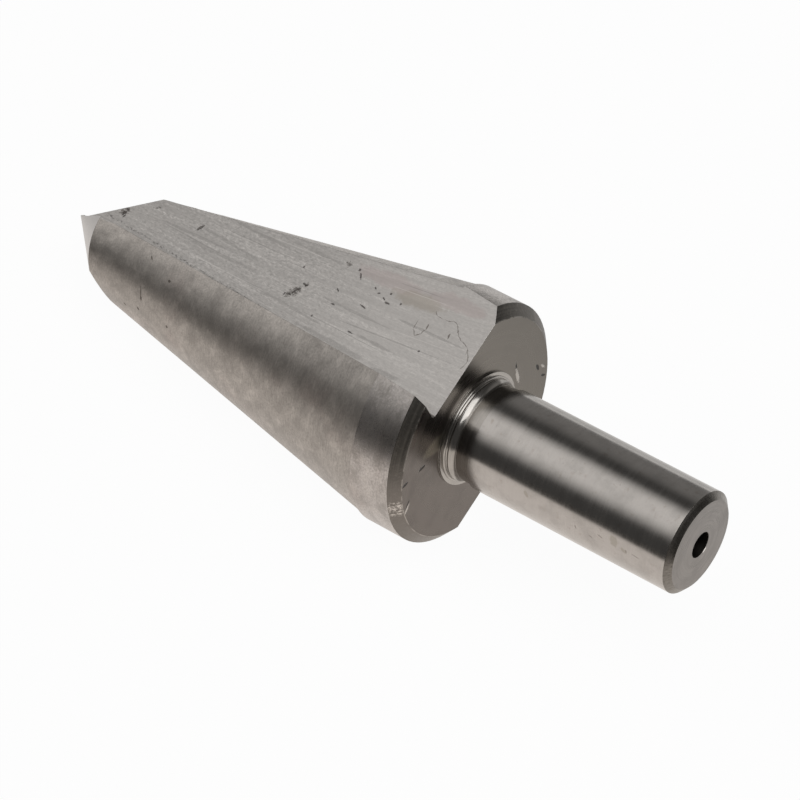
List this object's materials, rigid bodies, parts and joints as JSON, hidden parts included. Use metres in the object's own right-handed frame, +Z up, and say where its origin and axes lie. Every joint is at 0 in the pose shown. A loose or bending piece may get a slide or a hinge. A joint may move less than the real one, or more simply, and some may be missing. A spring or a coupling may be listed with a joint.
{
  "type": "cone drill bit",
  "caption": "Straight-fluted conical drill bit that opens sheet-metal holes to size, with a split point and a round shank.",
  "frame": {"origin": "centre of the bounding box's underside: the surface that the bit lies on, flute down", "axes": "+X from the point to the shank along the ground, +Y across, +Z up"},
  "size_m": [0.068, 0.0225, 0.0199],
  "materials": {
    "tool_steel": "ground, satin with fine grinding lines"
  },
  "bodies": {
    "root": {"cone_drill": "tool_steel"}
  },
  "joints": []
}
